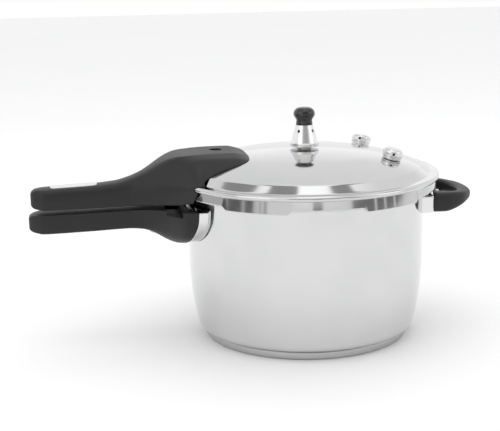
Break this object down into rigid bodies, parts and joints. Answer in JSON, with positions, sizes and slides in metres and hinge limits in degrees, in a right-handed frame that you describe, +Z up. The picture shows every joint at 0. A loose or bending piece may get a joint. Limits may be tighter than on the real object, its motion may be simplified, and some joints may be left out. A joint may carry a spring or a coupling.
{
  "type": "stovetop pressure cooker",
  "caption": "Stainless steel stovetop pressure cooker with bayonet lid, paired long bakelite handles, a helper handle, weight valve and spring safety valves.",
  "frame": {"origin": "middle of the underside of the base", "axes": "+Z up along the pot's axis; the paired long handles point along -X and the helper handle along +X"},
  "size_m": [0.415, 0.249, 0.2126],
  "materials": {
    "polished_steel": "mirror polished stainless steel",
    "satin_steel": "satin stainless steel",
    "base_aluminium": "pressed aluminium",
    "bakelite": "fine-grained matt phenolic moulding",
    "black_cap": "glossy black moulding",
    "silicone": "soft grey silicone",
    "brass": "turned brass",
    "nameplate": "satin nameplate, plain"
  },
  "bodies": {
    "pot": {"pot_shell": "polished_steel", "base_cup": "polished_steel", "base_core": "base_aluminium", "lower_handle": "bakelite", "lower_ferrule": "polished_steel", "lower_handle_bracket": "satin_steel", "lower_handle_screw": "satin_steel", "helper_handle": "bakelite", "helper_ferrule": "polished_steel", "helper_bracket": "satin_steel", "helper_handle_screw": "satin_steel"},
    "lid": {"lid_shell": "polished_steel", "gasket": "silicone", "upper_handle": "bakelite", "nameplate": "nameplate", "lid_bracket": "satin_steel", "lever_pin": "satin_steel", "upper_handle_screw": "satin_steel", "float_bush": "brass", "float_washer": "silicone", "float_nut": "satin_steel", "vent_pipe": "brass", "vent_washer": "silicone", "vent_nut": "satin_steel", "safety_valve_rear_body": "polished_steel", "safety_valve_rear_cap": "polished_steel", "safety_valve_rear_spring": "satin_steel", "safety_valve_rear_washer": "silicone", "safety_valve_rear_nut": "satin_steel", "safety_valve_front_body": "polished_steel", "safety_valve_front_cap": "polished_steel", "safety_valve_front_spring": "satin_steel", "safety_valve_front_washer": "silicone", "safety_valve_front_nut": "satin_steel"},
    "weight": {"weight_cone": "polished_steel", "weight_cap": "black_cap"},
    "float": {"float_pin": "brass"},
    "lever": {"lock_lever": "satin_steel"},
    "bolt": {"lock_bolt": "satin_steel"},
    "rear_plunger": {"safety_valve_rear_plunger": "brass"},
    "front_plunger": {"safety_valve_front_plunger": "brass"}
  },
  "joints": [
    {"name": "lid_turn", "type": "hinge", "parent": "pot", "child": "lid", "pos_m": [0, 0, 0.15], "axis": [0, 0, 1], "range_deg": [0, 30]},
    {"name": "weight_lift", "type": "slide", "parent": "lid", "child": "weight", "axis": [0, 0, 1], "range_m": [0, 0.03]},
    {"name": "float_rise", "type": "slide", "parent": "lid", "child": "float", "axis": [0, 0, 1], "range_m": [0, 0.0028]},
    {"name": "lever_tilt", "type": "hinge", "parent": "lid", "child": "lever", "pos_m": [-0.104, 0, 0.1663], "axis": [0, 1, 0], "range_deg": [-6.8, 0]},
    {"name": "bolt_drop", "type": "slide", "parent": "lid", "child": "bolt", "axis": [0, 0, -1], "range_m": [0, 0.00287]},
    {"name": "rear_valve_lift", "type": "slide", "parent": "lid", "child": "rear_plunger", "axis": [0.19, 0.138, 0.972], "range_m": [0, 0.002], "stiffness_N_per_m": 1500, "springref_m": -0.001, "deforming": ["safety_valve_rear_spring"]},
    {"name": "front_valve_lift", "type": "slide", "parent": "lid", "child": "front_plunger", "axis": [0.2092, -0.1066, 0.972], "range_m": [0, 0.002], "stiffness_N_per_m": 1500, "springref_m": -0.001, "deforming": ["safety_valve_front_spring"]}
  ],
  "couplings": [
    {"joint": "lever_tilt", "follows": "float_rise", "rad_per_m": -42.241},
    {"joint": "bolt_drop", "follows": "float_rise", "ratio": 1.02}
  ]
}
